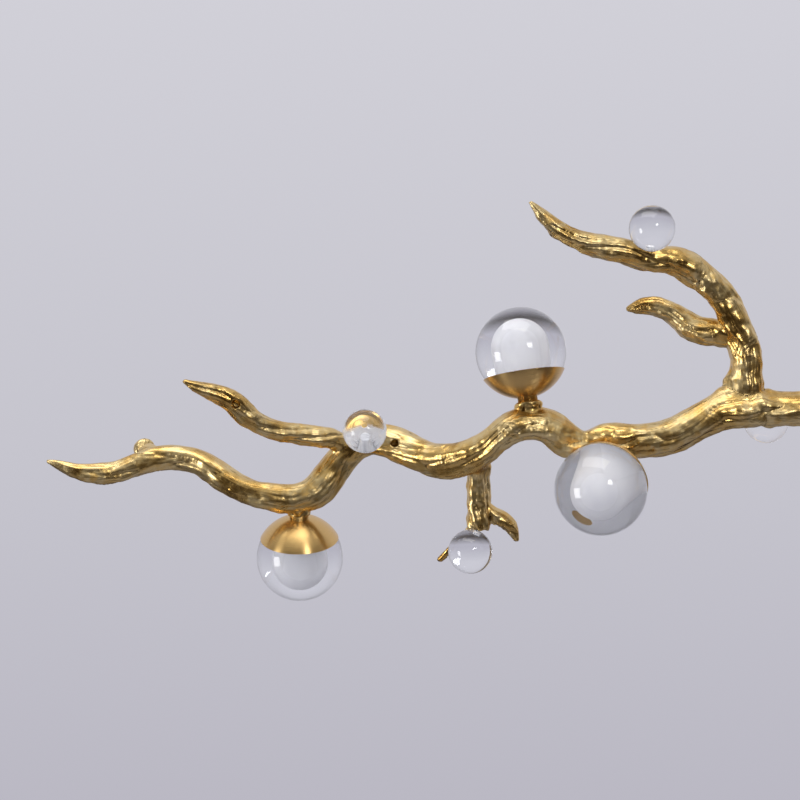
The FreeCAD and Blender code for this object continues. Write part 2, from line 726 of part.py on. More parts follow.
nipples = [stand(make_nipple(), lamp["centre"], lamp["aim"]) for lamp in lamps]
pins = [stand(make_bead_pin(), bead["centre"], bead["aim"]) for bead in beads]
screws = [set_screw(seam, seam_in, up * -1), set_screw(knuckle_seam, knuckle_in, knuckle_down)]
for name, shapes in (("nipples", nipples), ("bead_pins", pins), ("set_screws", screws)):
    write(name, Part.Compound(shapes + [turned(shape) for shape in shapes]))
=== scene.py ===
import json
import math

import bpy
import numpy as np
from mathutils import Matrix, Vector, noise
from mathutils.bvhtree import BVHTree


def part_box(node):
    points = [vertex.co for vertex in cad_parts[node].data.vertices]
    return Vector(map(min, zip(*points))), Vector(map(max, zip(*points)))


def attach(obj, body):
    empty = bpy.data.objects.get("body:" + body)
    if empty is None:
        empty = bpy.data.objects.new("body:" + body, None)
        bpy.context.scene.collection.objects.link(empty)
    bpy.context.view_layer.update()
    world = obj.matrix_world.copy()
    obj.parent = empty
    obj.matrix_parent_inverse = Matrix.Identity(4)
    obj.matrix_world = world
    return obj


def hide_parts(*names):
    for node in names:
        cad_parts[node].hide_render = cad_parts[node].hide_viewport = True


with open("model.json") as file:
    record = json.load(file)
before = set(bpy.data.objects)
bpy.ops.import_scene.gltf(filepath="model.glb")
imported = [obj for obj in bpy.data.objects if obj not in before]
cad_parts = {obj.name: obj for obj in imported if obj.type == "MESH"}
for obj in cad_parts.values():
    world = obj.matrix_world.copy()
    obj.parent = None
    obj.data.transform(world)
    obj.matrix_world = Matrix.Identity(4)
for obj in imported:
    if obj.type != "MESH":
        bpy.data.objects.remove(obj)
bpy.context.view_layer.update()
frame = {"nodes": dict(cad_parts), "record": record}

scene = bpy.context.scene
nodes = frame["nodes"]
bodies = frame["record"]["behaviour"]["bodies"]
bodyOf = {name: body for body, names in bodies.items() for name in names}
hub = Vector((0, 0, -0.6))  # where the stem's axis meets the trunk


def hexColour(code):
    parts = [int(code[i:i + 2], 16) / 255 for i in (1, 3, 5)]
    linear = [c / 12.92 if c <= 0.04045 else ((c + 0.055) / 1.055) ** 2.4 for c in parts]
    return (*linear, 1.0)


def addNode(tree, kind, place, values=None, links=None, stops=None, **settings):
    node = tree.nodes.new(kind)
    node.location = place
    for name, value in settings.items():
        setattr(node, name, value)
    for socket, value in (values or {}).items():
        node.inputs[socket].default_value = value
    for socket, source in (links or {}).items():
        tree.links.new(source, node.inputs[socket])
    for index, (position, colour) in enumerate(stops or []):
        elements = node.color_ramp.elements
        element = elements[index] if index < 2 else elements.new(position)
        element.position = position
        element.color = hexColour(colour)
    return node


def newMaterial(name):
    material = bpy.data.materials.new(name)
    material.use_nodes = True
    return material, material.node_tree, material.node_tree.nodes["Principled BSDF"]


def selectOnly(*objects):
    bpy.ops.object.select_all(action="DESELECT")
    for obj in objects:
        obj.select_set(True)
    bpy.context.view_layer.objects.active = objects[0]


def copyOfNode(node, name):
    # Own mesh, welded, at the node's place.
    obj = bpy.data.objects.new(name, nodes[node].data.copy())
    scene.collection.objects.link(obj)
    selectOnly(obj)
    bpy.ops.object.mode_set(mode="EDIT")
    bpy.ops.mesh.select_all(action="SELECT")
    bpy.ops.mesh.remove_doubles(threshold=0.00001)
    bpy.ops.mesh.normals_make_consistent(inside=False)
    bpy.ops.object.mode_set(mode="OBJECT")
    obj.data.materials.clear()
    return obj


def pieceName(node):
    words = node.split("_")
    return words[0] + "".join(word.capitalize() for word in words[1:])


def placePiece(obj, node):
    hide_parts(node)
    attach(obj, bodyOf[node])


def readPoints(mesh, kind="co"):
    # The vertices' places or, with the kind "normal", their normals.
    values = np.zeros(len(mesh.vertices) * 3)
    mesh.vertices.foreach_get(kind, values)
    return values.reshape(-1, 3)


def readEdges(mesh):
    edges = np.zeros(len(mesh.edges) * 2, dtype=np.int64)
    mesh.edges.foreach_get("vertices", edges)
    return edges.reshape(-1, 2)


def cornerVertices(mesh):
    corners = np.zeros(len(mesh.loops), dtype=np.int64)
    mesh.loops.foreach_get("vertex_index", corners)
    return corners


def writePoints(mesh, points):
    mesh.vertices.foreach_set("co", points.astype(np.float32).ravel())
    mesh.update()


def averageAround(values, edges, degree):
    # The mean of each vertex's neighbours.
    total = np.zeros_like(values)
    for column in range(values.shape[1]):
        total[:, column] = np.bincount(edges[:, 0], values[edges[:, 1], column], len(values))
        total[:, column] += np.bincount(edges[:, 1], values[edges[:, 0], column], len(values))
    return total / degree[:, None]


def smoothStep(low, high, value):
    share = np.clip((value - low) / (high - low), 0, 1)
    return share * share * (3 - 2 * share)


# The dark brown colour darkens creases and hollows: partly patina, partly painted shade.
castFinish = {
    "gold": "#E2BD76", "deepGold": "#BC9148", "blush": "#C08A52", "pale": "#EAD29C",
    "recess": "#40290C", "roughness": 0.23, "blotch": 0.030, "grain": 0.0022,
    "grainDepth": 0.00025, "vein": 0.0035, "veinStretch": 0.09, "speckPerMetre": 260.0,
    "streakPerMetre": (330.0, 30.0, 1.0),
}


def makeCastBrass():
    # Polished cast brass: satin tops, bright ridges, brown patina and painted shade, and
    # hairlines, in the creases.
    material, tree, shader = newMaterial("polishedCastBrass")
    coords = addNode(tree, "ShaderNodeTexCoord", (-1500, 0))
    recess = addNode(tree, "ShaderNodeAttribute", (-1500, 500), attribute_name="recess")
    flow = addNode(tree, "ShaderNodeUVMap", (-1500, -700), uv_map="flow")
    blotch = addNode(tree, "ShaderNodeTexNoise", (-1300, 0),
                     {"Scale": 1 / castFinish["blotch"], "Detail": 6.0, "Roughness": 0.62},
                     {"Vector": coords.outputs["Object"]})
    tint = addNode(tree, "ShaderNodeValToRGB", (-1100, 0), links={"Fac": blotch.outputs["Fac"]},
                   stops=[(0.30, castFinish["deepGold"]), (0.46, castFinish["gold"]),
                          (0.58, castFinish["pale"]), (0.66, castFinish["gold"]),
                          (0.80, castFinish["blush"])])
    speck = addNode(tree, "ShaderNodeTexNoise", (-1300, 700),
                    {"Scale": castFinish["speckPerMetre"], "Detail": 6.0, "Roughness": 0.7},
                    {"Vector": coords.outputs["Object"]})
    # Random specks plus the crease mark: brown patina and painted shade in creases and hollows.
    wearAndShade = addNode(tree, "ShaderNodeMath", (-1100, 500), {1: 0.45},
                   {0: speck.outputs["Fac"], 2: recess.outputs["Fac"]}, operation="MULTIPLY_ADD")
    shadeAndPatinaFactor = addNode(tree, "ShaderNodeMapRange", (-900, 500), {"From Min": 0.60, "From Max": 1.10},
                     {"Value": wearAndShade.outputs["Value"]})
    veinFlow = addNode(tree, "ShaderNodeMapping", (-1300, -300),
                       {"Scale": (1 / castFinish["vein"],
                                  castFinish["veinStretch"] / castFinish["vein"], 1.0)},
                       {"Vector": flow.outputs["UV"]})
    veinNoise = addNode(tree, "ShaderNodeTexNoise", (-1100, -300),
                        {"Scale": 0.35, "Detail": 4.0, "Roughness": 0.6, "Distortion": 0.6},
                        {"Vector": veinFlow.outputs["Vector"]})
    veinGap = addNode(tree, "ShaderNodeMath", (-900, -300), {1: 0.5},
                      {0: veinNoise.outputs["Fac"]}, operation="SUBTRACT")
    veinWide = addNode(tree, "ShaderNodeMath", (-800, -300),
                       links={0: veinGap.outputs["Value"]}, operation="ABSOLUTE")
    vein = addNode(tree, "ShaderNodeMapRange", (-700, -300),
                   {"From Min": 0.002, "From Max": 0.016, "To Min": 0.55, "To Max": 0.0},
                   {"Value": veinWide.outputs["Value"]})
    dark = addNode(tree, "ShaderNodeMath", (-600, 400),
                   links={0: shadeAndPatinaFactor.outputs["Result"], 1: vein.outputs["Result"]},
                   operation="MAXIMUM")
    colour = addNode(tree, "ShaderNodeMix", (-400, 200), {"B": hexColour(castFinish["recess"])},
                     {"Factor": dark.outputs["Value"], "A": tint.outputs["Color"]},
                     data_type="RGBA")
    tree.links.new(colour.outputs["Result"], shader.inputs["Base Color"])
    shader.inputs["Metallic"].default_value = 1.0
    rough = addNode(tree, "ShaderNodeMapRange", (-600, -100),
                    {"From Min": 0.35, "From Max": 0.7, "To Min": castFinish["roughness"],
                     "To Max": castFinish["roughness"] + 0.20},
                    {"Value": blotch.outputs["Fac"]})
    dull = addNode(tree, "ShaderNodeMath", (-400, -100), {1: 0.25},
                   {0: dark.outputs["Value"], 2: rough.outputs["Result"]},
                   operation="MULTIPLY_ADD")
    tree.links.new(dull.outputs["Value"], shader.inputs["Roughness"])
    grain = addNode(tree, "ShaderNodeTexNoise", (-900, -500),
                    {"Scale": 0.5 / castFinish["grain"], "Detail": 5.0, "Roughness": 0.6},
                    {"Vector": coords.outputs["Object"]})
    stretch = addNode(tree, "ShaderNodeMapping", (-1100, -700),
                      {"Scale": castFinish["streakPerMetre"]}, {"Vector": flow.outputs["UV"]})
    streak = addNode(tree, "ShaderNodeTexNoise", (-900, -700),
                     {"Scale": 1.0, "Detail": 3.0, "Roughness": 0.5, "Distortion": 0.4},
                     {"Vector": stretch.outputs["Vector"]})
    relief = addNode(tree, "ShaderNodeMath", (-700, -500), {1: 1.3},
                     {0: streak.outputs["Fac"], 2: grain.outputs["Fac"]},
                     operation="MULTIPLY_ADD")
    bump = addNode(tree, "ShaderNodeBump", (-400, -400),
                   {"Strength": 0.6, "Distance": castFinish["grainDepth"]},
                   {"Height": relief.outputs["Value"]})
    tree.links.new(bump.outputs["Normal"], shader.inputs["Normal"])
    return material


spunFinish = {"gold": "#D9AE68", "pale": "#E8C88C", "roughness": 0.30, "anisotropy": 0.8,
              "grooves": 5200.0}
turnedFinish = {"gold": "#D6B26C", "pale": "#E6C788", "roughness": 0.24, "anisotropy": 0.5,
                "grooves": 3600.0}


def makeSpunBrass(name, finish):
    # Satin metal turned on a lathe: fine rings that draw each light into a fan.
    material, tree, shader = newMaterial(name)
    turned = addNode(tree, "ShaderNodeUVMap", (-1300, 0), uv_map="turned")
    rings = addNode(tree, "ShaderNodeMapping", (-1100, 0),
                    {"Scale": (6.0, finish["grooves"], 1.0)}, {"Vector": turned.outputs["UV"]})
    lines = addNode(tree, "ShaderNodeTexNoise", (-900, 0),
                    {"Scale": 1.0, "Detail": 4.0, "Roughness": 0.65},
                    {"Vector": rings.outputs["Vector"]})
    colour = addNode(tree, "ShaderNodeMix", (-500, 200),
                     {"A": hexColour(finish["gold"]), "B": hexColour(finish["pale"])},
                     {"Factor": lines.outputs["Fac"]}, data_type="RGBA")
    rough = addNode(tree, "ShaderNodeMapRange", (-500, 0),
                    {"From Min": 0.3, "From Max": 0.7, "To Min": finish["roughness"] - 0.05,
                     "To Max": finish["roughness"] + 0.07},
                    {"Value": lines.outputs["Fac"]})
    bump = addNode(tree, "ShaderNodeBump", (-500, -300), {"Strength": 0.35, "Distance": 0.00005},
                   {"Height": lines.outputs["Fac"]})
    tangent = addNode(tree, "ShaderNodeTangent", (-500, -500), direction_type="UV_MAP",
                      uv_map="turned")
    tree.links.new(colour.outputs["Result"], shader.inputs["Base Color"])
    tree.links.new(rough.outputs["Result"], shader.inputs["Roughness"])
    tree.links.new(bump.outputs["Normal"], shader.inputs["Normal"])
    tree.links.new(tangent.outputs["Tangent"], shader.inputs["Tangent"])
    shader.inputs["Metallic"].default_value = 1.0
    shader.inputs["Anisotropic"].default_value = finish["anisotropy"]
    shader.inputs["Anisotropic Rotation"].default_value = 0.25
    return material


crystalFinish = {"ior": 1.50, "tint": "#FBFCFF", "film": 0.016}
frostFinish = {"white": "#FFFFFF", "shade": "#F0F0F6", "roughness": 0.6, "clear": 0.12,
               "cloud": 0.011}


def makeCrystal(name, groundSeat):
    # Clear polished crystal with a trace of handling film, and on a bead a ground seat.
    material, tree, shader = newMaterial(name)
    shader.inputs["Base Color"].default_value = hexColour(crystalFinish["tint"])
    shader.inputs["Transmission Weight"].default_value = 1.0
    shader.inputs["IOR"].default_value = crystalFinish["ior"]
    coords = addNode(tree, "ShaderNodeTexCoord", (-900, 0))
    film = addNode(tree, "ShaderNodeTexNoise", (-700, 0),
                   {"Scale": 1 / crystalFinish["film"], "Detail": 3.0},
                   {"Vector": coords.outputs["Object"]})
    rough = addNode(tree, "ShaderNodeMapRange", (-450, 0),
                    {"From Min": 0.55, "From Max": 0.8, "To Min": 0.0, "To Max": 0.03},
                    {"Value": film.outputs["Fac"]})
    tree.links.new(rough.outputs["Result"], shader.inputs["Roughness"])
    if groundSeat:
        seat = addNode(tree, "ShaderNodeAttribute", (-900, -300), attribute_name="seat")
        clear = addNode(tree, "ShaderNodeMapRange", (-450, -300),
                        {"From Min": 0.45, "From Max": 0.55, "To Min": 1.0,
                         "To Max": frostFinish["clear"]}, {"Value": seat.outputs["Fac"]})
        soft = addNode(tree, "ShaderNodeMapRange", (-450, -550),
                       {"From Min": 0.45, "From Max": 0.55, "To Min": 0.0,
                        "To Max": frostFinish["roughness"]}, {"Value": seat.outputs["Fac"]})
        both = addNode(tree, "ShaderNodeMath", (-250, -100),
                       links={0: rough.outputs["Result"], 1: soft.outputs["Result"]},
                       operation="MAXIMUM")
        tree.links.new(clear.outputs["Result"], shader.inputs["Transmission Weight"])
        tree.links.new(both.outputs["Value"], shader.inputs["Roughness"])
    return material


def makeFrost():
    # Crystal ground by the drill: milky, soft and slightly uneven.
    material, tree, shader = newMaterial("groundCrystal")
    coords = addNode(tree, "ShaderNodeTexCoord", (-900, 0))
    cloud = addNode(tree, "ShaderNodeTexNoise", (-700, 0),
                    {"Scale": 1 / frostFinish["cloud"], "Detail": 4.0},
                    {"Vector": coords.outputs["Object"]})
    colour = addNode(tree, "ShaderNodeMix", (-450, 100),
                     {"A": hexColour(frostFinish["white"]), "B": hexColour(frostFinish["shade"])},
                     {"Factor": cloud.outputs["Fac"]}, data_type="RGBA")
    tree.links.new(colour.outputs["Result"], shader.inputs["Base Color"])
    shader.inputs["Transmission Weight"].default_value = frostFinish["clear"]
    shader.inputs["Roughness"].default_value = frostFinish["roughness"]
    shader.inputs["IOR"].default_value = crystalFinish["ior"]
    return material


# Light and dark colour, size of the mottling, roughness, metallic and depth of the grain.
plainFinish = {
    # The cap's white lining is made as pale as the backdrop that the crystal shows there.
    "whiteCapEnamel": ("#FFFFFF", "#F4F4F8", 0.006, 0.30, 0.0, 0.00003),
    "bulbGlass": ("#F2F1EC", "#E4E3DD", 0.004, 0.35, 0.0, 0.00003),
    "holderCeramic": ("#EFEBE0", "#DDD8CA", 0.003, 0.45, 0.0, 0.00005),
    "platedSteel": ("#B9BCC2", "#9EA2A9", 0.006, 0.32, 1.0, 0.00004),
    "driverPlastic": ("#F1F1EF", "#E2E2DF", 0.002, 0.42, 0.0, 0.00008),
    "terminalPlastic": ("#E9E6DC", "#D9D5C8", 0.002, 0.40, 0.0, 0.00008),
}


def makePlain(name):
    # A glazed, moulded or plated surface with faint mottling and a fine grain.
    light, dark, size, roughness, metallic, depth = plainFinish[name]
    material, tree, shader = newMaterial(name)
    coords = addNode(tree, "ShaderNodeTexCoord", (-1000, 0))
    mottle = addNode(tree, "ShaderNodeTexNoise", (-800, 0), {"Scale": 1 / size, "Detail": 5.0},
                     {"Vector": coords.outputs["Object"]})
    colour = addNode(tree, "ShaderNodeMix", (-500, 100),
                     {"A": hexColour(light), "B": hexColour(dark)},
                     {"Factor": mottle.outputs["Fac"]}, data_type="RGBA")
    rough = addNode(tree, "ShaderNodeMapRange", (-500, -100),
                    {"To Min": roughness - 0.06, "To Max": roughness + 0.06},
                    {"Value": mottle.outputs["Fac"]})
    bump = addNode(tree, "ShaderNodeBump", (-500, -350), {"Strength": 0.3, "Distance": depth},
                   {"Height": mottle.outputs["Fac"]})
    tree.links.new(colour.outputs["Result"], shader.inputs["Base Color"])
    tree.links.new(rough.outputs["Result"], shader.inputs["Roughness"])
    tree.links.new(bump.outputs["Normal"], shader.inputs["Normal"])
    shader.inputs["Metallic"].default_value = metallic
    return material


castBrass = makeCastBrass()
spunBrass = makeSpunBrass("spunSatinBrass", spunFinish)
turnedBrass = makeSpunBrass("turnedBrass", turnedFinish)
capLining = makePlain("whiteCapEnamel")
crystal = makeCrystal("clearCrystal", False)
beadCrystal = makeCrystal("beadCrystal", True)
frost = makeFrost()
bulbGlass = makePlain("bulbGlass")
ceramic = makePlain("holderCeramic")
steel = makePlain("platedSteel")
driverPlastic = makePlain("driverPlastic")
terminalPlastic = makePlain("terminalPlastic")
print("materials ready")


castShape = {
    "voxel": 0.00115,
    "ridge": 0.0028, "calmTop": 0.78, "lump": 0.0010, "lumpSize": 0.012, "farthest": 0.05,
    "filletReach": 0.011, "filletPasses": 110, "armFold": 0.15,
    "seam": 0.112, "seamWidth": 0.006, "seamRing": 0.0016,
}
spineShape = {"step": 0.003, "slab": 0.0025, "fewest": 6, "longest": 250, "centring": 0.6,
              "lookBack": 5}
foldShape = {
    "length": 0.095, "twist": 8.0, "gain": 2.4, "roundness": 0.6, "level": 0.62,
    "broadTurns": 1.15, "broadPace": 1.3, "broadHeight": 0.8, "broadCrease": 13,
    "fineTurns": 2.6, "finePace": 2.2, "fineHeight": 0.26, "fineCrease": 12, "fineDepth": 0.45,
}
pitShape = {"count": 60, "depth": 0.0007, "smallest": 0.0009, "largest": 0.0026,
            "lipPlace": 1.5, "lipHeight": 0.25}

# Pulls on the skin, given one by one: place from the hub, reach and move.
touches = [
    ((-0.142, 0, 0.017), 0.012, (-0.0058, 0, 0.0060)),   # web at the antler's foot
    ((-0.112, 0, 0.017), 0.007, (0.0022, 0, 0.0026)),
    ((-0.265, 0.004, -0.017), 0.007, (0.0010, 0, -0.0030)),   # notch at the knuckle
    ((-0.289, 0, -0.007), 0.016, (0, 0, 0.0018)),
    ((-0.293, 0, -0.041), 0.012, (-0.0010, 0, -0.0030)),
]

castNames = ["left_inner_arm", "left_outer_arm", "left_antler", "left_side_twig",
             "left_fork_twig", "centre_trunk"]

# How many times stronger the lumps are on these castings.
hammered = {"left_antler": 1.7, "left_fork_twig": 1.9, "left_side_twig": 1.3}

# The castings that each limb runs through, its start, first heading and widest reach.
limbs = [
    (("centre_trunk", "left_inner_arm"), (0.020, 0, 0), (-1, 0, 0), 0.024),
    (("left_outer_arm",), (-0.272, 0.006, -0.028), (-1, 0, 0), 0.024),
    (("left_antler",), (-0.127, 0.001, 0.026), (0, 0, 1), 0.022),
    (("left_antler",), (-0.160, 0.007, 0.069), (-1, 0.3, 0.1), 0.018),
    (("left_side_twig",), (-0.505, 0.055, -0.025), (-1, -0.4, 0), 0.014),
    (("left_fork_twig",), (-0.361, 0.040, -0.062), (0, 0.3, -1), 0.016),
    (("left_fork_twig",), (-0.350, 0.048, -0.095), (1, 0.1, -0.5), 0.011),
    (("left_fork_twig",), (-0.371, 0.060, -0.115), (-0.6, 0.5, -0.6), 0.007),
]


def walkSpine(cloud, start, heading, reach):
    # Follows the middle of a limb through its surface points, slab by slab.
    spot = np.array(start, float)
    ahead = np.array(heading, float)
    ahead /= np.linalg.norm(ahead)
    side = np.array((0.0, -1.0, 0.0))
    spots, sides, headings = [], [], []
    while len(spots) < spineShape["longest"]:
        offset = cloud - spot
        inside = np.abs(offset @ ahead) < spineShape["slab"]
        inside &= (offset ** 2).sum(1) < reach ** 2
        if inside.sum() < spineShape["fewest"]:
            break
        side = side - ahead * (side @ ahead)
        side /= np.linalg.norm(side)
        above = np.cross(ahead, side)
        for axis in (side, above):
            along = offset[inside] @ axis
            spot = spot + axis * (along.max() + along.min()) / 2 * spineShape["centring"]
        spots.append(spot)
        sides.append(side)
        headings.append(ahead)
        if len(spots) >= spineShape["lookBack"]:
            turn = spots[-1] - spots[-spineShape["lookBack"]]
            ahead = ahead * 0.5 + turn / np.linalg.norm(turn) * 0.5
            ahead /= np.linalg.norm(ahead)
        spot = spot + ahead * spineShape["step"]
    return np.array(spots), np.array(sides), np.array(headings)


def flowCoordinates(points, spine):
    # Distance along the limb, angle round it and distance from its middle.
    spots, sides, headings = spine
    nearest = np.zeros(len(points), dtype=np.int64)
    blockSize = 20000
    for first in range(0, len(points), blockSize):
        block = points[first:first + blockSize]
        gaps = ((block[:, None, :] - spots[None, :, :]) ** 2).sum(2)
        nearest[first:first + blockSize] = gaps.argmin(1)
    offset = points - spots[nearest]
    ahead = headings[nearest]
    side = sides[nearest]
    above = np.cross(ahead, side)
    along = nearest * spineShape["step"] + (offset * ahead).sum(1)
    angle = np.arctan2((offset * above).sum(1), (offset * side).sum(1))
    return along, angle, np.sqrt((offset ** 2).sum(1))


def ridgeHeight(along, angle, seed):
    # Rounded folds between sharp creases, drawn out along the limb and slowly twisting.
    fold = foldShape
    turnedAngle = angle + along * fold["twist"]
    stretch = along / fold["length"]
    height = np.zeros(len(along))
    depth = np.zeros(len(along))
    for index in range(len(along)):
        c, s = math.cos(turnedAngle[index]), math.sin(turnedAngle[index])
        turns, pace = fold["broadTurns"], fold["broadPace"]
        broad = abs(noise.noise((c * turns + seed, s * turns, stretch[index] * pace)))
        turns, pace = fold["fineTurns"], fold["finePace"]
        fine = abs(noise.noise((c * turns, s * turns + seed, stretch[index] * pace + 7)))
        height[index] = min(broad * fold["gain"], 1.0) ** fold["roundness"] * fold["broadHeight"]
        height[index] += min(fine * fold["gain"], 1.0) ** fold["roundness"] * fold["fineHeight"]
        depth[index] = max(1 - broad * fold["broadCrease"], 0)
        depth[index] += max(1 - fine * fold["fineCrease"], 0) * fold["fineDepth"]
    return height - fold["level"], depth


def lumpHeight(points, size, seed):
    return np.array([noise.noise((x / size + seed, y / size, z / size)) for x, y, z in points])


def dropPits(points, generator):
    # Small casting pits with a soft lip.
    offset = np.zeros(len(points))
    for index in generator.integers(0, len(points), pitShape["count"]):
        radius = generator.uniform(pitShape["smallest"], pitShape["largest"])
        distance = np.sqrt(((points - points[index]) ** 2).sum(1)) / radius
        near = distance < 3
        bowl = np.exp(-distance[near] ** 2) * -1.0
        lip = np.exp(-(distance[near] - pitShape["lipPlace"]) ** 2 * 4) * pitShape["lipHeight"]
        offset[near] += (bowl + lip) * pitShape["depth"] * generator.uniform(0.4, 1.0)
    return offset


def joinedSkin(names):
    # One closed skin over castings that flow into each other.
    copies = [copyOfNode(name, "casting") for name in names]
    selectOnly(*copies)
    bpy.ops.object.join()
    skin = copies[0]
    selectOnly(skin)
    remesh = skin.modifiers.new("skin", "REMESH")
    remesh.mode = "VOXEL"
    remesh.voxel_size = castShape["voxel"]
    bpy.ops.object.modifier_apply(modifier=remesh.name)
    return skin


def nearestCastings(points, names):
    # How far each point is from each casting.
    graph = bpy.context.evaluated_depsgraph_get()
    gaps = np.zeros((len(names), len(points)))
    for row, name in enumerate(names):
        tree = BVHTree.FromObject(nodes[name], graph)
        for index, point in enumerate(points):
            found = tree.find_nearest(Vector(point), castShape["farthest"])
            gaps[row, index] = castShape["farthest"] if found[0] is None else found[3]
    return gaps


def fillCorners(mesh, edges, degree, closeness):
    # Rounds the inner corners where limbs meet, and never thins a limb.
    points = readPoints(mesh)
    for turn in range(castShape["filletPasses"]):
        if turn % 12 == 0:
            writePoints(mesh, points)
            outward = readPoints(mesh, "normal")
            for smoothing in range(3):
                outward = averageAround(outward, edges, degree)
            outward /= np.maximum(np.linalg.norm(outward, axis=1), 1e-6)[:, None]
        rise = ((averageAround(points, edges, degree) - points) * outward).sum(1)
        points += outward * (np.maximum(rise, 0) * closeness * 0.8)[:, None]
    for turn in range(2):
        points += (averageAround(points, edges, degree) - points) * 0.5
    writePoints(mesh, points)
    return points


def limbFields(points, names, owner, seed):
    # Each point's fold height and crease depth, its flow along the limb, and how near the
    # limb's middle it is.
    raised = np.zeros(len(points))
    crease = np.zeros(len(points))
    flow = np.zeros((len(points), 2))
    weight = np.full(len(points), 1e-9)
    best = np.full(len(points), 1e9)
    for number, (through, start, heading, reach) in enumerate(limbs):
        mine = np.flatnonzero(np.isin(owner, [names.index(name) for name in through]))
        spine = walkSpine(points[mine], np.array(start) + hub, heading, reach)
        along, angle, far = flowCoordinates(points[mine], spine)
        share = np.exp(-(far / reach) ** 2 * 8) + 1e-6
        height, depth = ridgeHeight(along, angle, seed + number * 13.7)
        raised[mine] += height * share
        crease[mine] += depth * share
        weight[mine] += share
        keep = far / reach < best[mine]
        flow[mine[keep], 0] = angle[keep] * reach * 0.6
        flow[mine[keep], 1] = along[keep]
        best[mine[keep]] = (far / reach)[keep]
        print(through[-1], "followed for", len(spine[0]), "steps")
    return raised / weight, crease / weight, flow, best


def carvedHeight(points, names, owner, raised, calm, seed):
    # Folds, lumps, pits and the raised ring at the seam, as a distance outwards.
    hammer = np.array([hammered.get(name, 1.0) for name in names])[owner]
    lumps = lumpHeight(points, castShape["lumpSize"], seed) * 0.7
    lumps += lumpHeight(points, castShape["lumpSize"] * 0.45, seed + 5) * 0.3
    ring = np.exp(-((points[:, 0] + castShape["seam"]) / castShape["seamWidth"]) ** 2)
    ring *= np.isin(owner, [names.index("left_inner_arm"), names.index("centre_trunk")])
    offset = raised * calm * castShape["ridge"]
    offset = offset + lumps * hammer * castShape["lump"] * (calm + 0.3)
    offset += ring * (0.6 + lumps * 1.6) * castShape["seamRing"]
    return offset + dropPits(points, np.random.default_rng(int(seed * 10)))


def keepFields(mesh, recess, normals, flow):
    # The crease mark: brown patina and painted shade in creases and hollows.
    attribute = mesh.attributes.new("recess", "FLOAT", "POINT")
    attribute.data.foreach_set("value", recess.astype(np.float32))
    attribute = mesh.attributes.new("skinNormal", "FLOAT_VECTOR", "POINT")
    attribute.data.foreach_set("vector", normals.astype(np.float32).ravel())
    layer = mesh.uv_layers.new(name="flow")
    layer.uv.foreach_set("vector", flow[cornerVertices(mesh)].astype(np.float32).ravel())


def castSet(names, seed):
    # Carves the joined skin and parts it again, casting by casting.
    skin = joinedSkin(names)
    mesh = skin.data
    edges = readEdges(mesh)
    points = readPoints(mesh)
    degree = np.maximum(np.bincount(edges.ravel(), minlength=len(points)), 1)
    gaps = nearestCastings(points, names)
    owner = gaps.argmin(0)
    closeness = 1 - smoothStep(0.0, castShape["filletReach"], np.sort(gaps, axis=0)[1])
    crossing = (np.sort(gaps.argsort(0)[:2], axis=0) == [[0], [1]]).all(0)
    closeness[crossing] *= castShape["armFold"]  # the two arms keep their fold
    for place, reach, move in touches:
        away = np.linalg.norm(points - np.array(hub) - place, axis=1)
        points += np.exp(-(away / reach) ** 2)[:, None] * move
    writePoints(mesh, points)
    points = fillCorners(mesh, edges, degree, closeness)

    normals = readPoints(mesh, "normal")
    raised, crease, flow, best = limbFields(points, names, owner, seed)
    top = smoothStep(0.1, 0.8, normals[:, 2])
    calm = (1 - 0.5 * closeness) * (1 - castShape["calmTop"] * top)
    calm *= smoothStep(0.002, 0.016, -points[:, 0])  # the trunk's halves meet at x = 0
    offset = carvedHeight(points, names, owner, raised, calm, seed)
    offset *= smoothStep(0.05, 0.35, np.clip(best, 0.15, 1.0))
    points += normals * offset[:, None]
    low = np.min([list(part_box(name)[0]) for name in names], axis=0)
    high = np.max([list(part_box(name)[1]) for name in names], axis=0)
    points = np.clip(points, low, high)
    writePoints(mesh, points)

    normals = readPoints(mesh, "normal")
    # Creases and hollows are marked for darkening: partly patina, partly painted shade.
    hollow = ((averageAround(points, edges, degree) - points) * normals).sum(1)[:, None]
    for turn in range(3):
        hollow = averageAround(hollow, edges, degree)
    recess = np.clip(crease * calm * 0.6 + hollow[:, 0] / castShape["voxel"] * 4.0, 0, 1)
    keepFields(mesh, recess, normals, flow)
    return partSkin(skin, names, owner)


def partSkin(skin, names, owner):
    # Each casting gets its own object again, closed where the castings meet.
    pieces = {}
    for row, name in enumerate(names):
        piece = bpy.data.objects.new(pieceName(name), skin.data.copy())
        scene.collection.objects.link(piece)
        selectOnly(piece)
        mesh = piece.data
        side = np.array([owner[face.vertices[0]] for face in mesh.polygons])
        mesh.polygons.foreach_set("select", side != row)
        mesh.vertices.foreach_set("select", np.zeros(len(mesh.vertices), bool))
        mesh.edges.foreach_set("select", np.zeros(len(mesh.edges), bool))
        bpy.ops.object.mode_set(mode="EDIT")
        bpy.context.tool_settings.mesh_select_mode = (False, False, True)
        bpy.ops.mesh.delete(type="FACE")
        bpy.ops.object.mode_set(mode="OBJECT")
        if name == "centre_trunk":
            mirrorTrunk(piece)
        selectOnly(piece)
        bpy.ops.object.mode_set(mode="EDIT")
        bpy.ops.mesh.select_all(action="SELECT")
        bpy.ops.mesh.fill_holes(sides=0)
        bpy.ops.object.mode_set(mode="OBJECT")
        bpy.ops.object.shade_smooth()
        keepSkinNormals(mesh)
        mesh.materials.clear()
        mesh.materials.append(castBrass)
        pieces[name] = piece
    bpy.data.objects.remove(skin)
    return pieces


def readSkinNormals(mesh):
    normals = np.zeros(len(mesh.vertices) * 3, dtype=np.float32)
    mesh.attributes["skinNormal"].data.foreach_get("vector", normals)
    return normals.reshape(-1, 3)


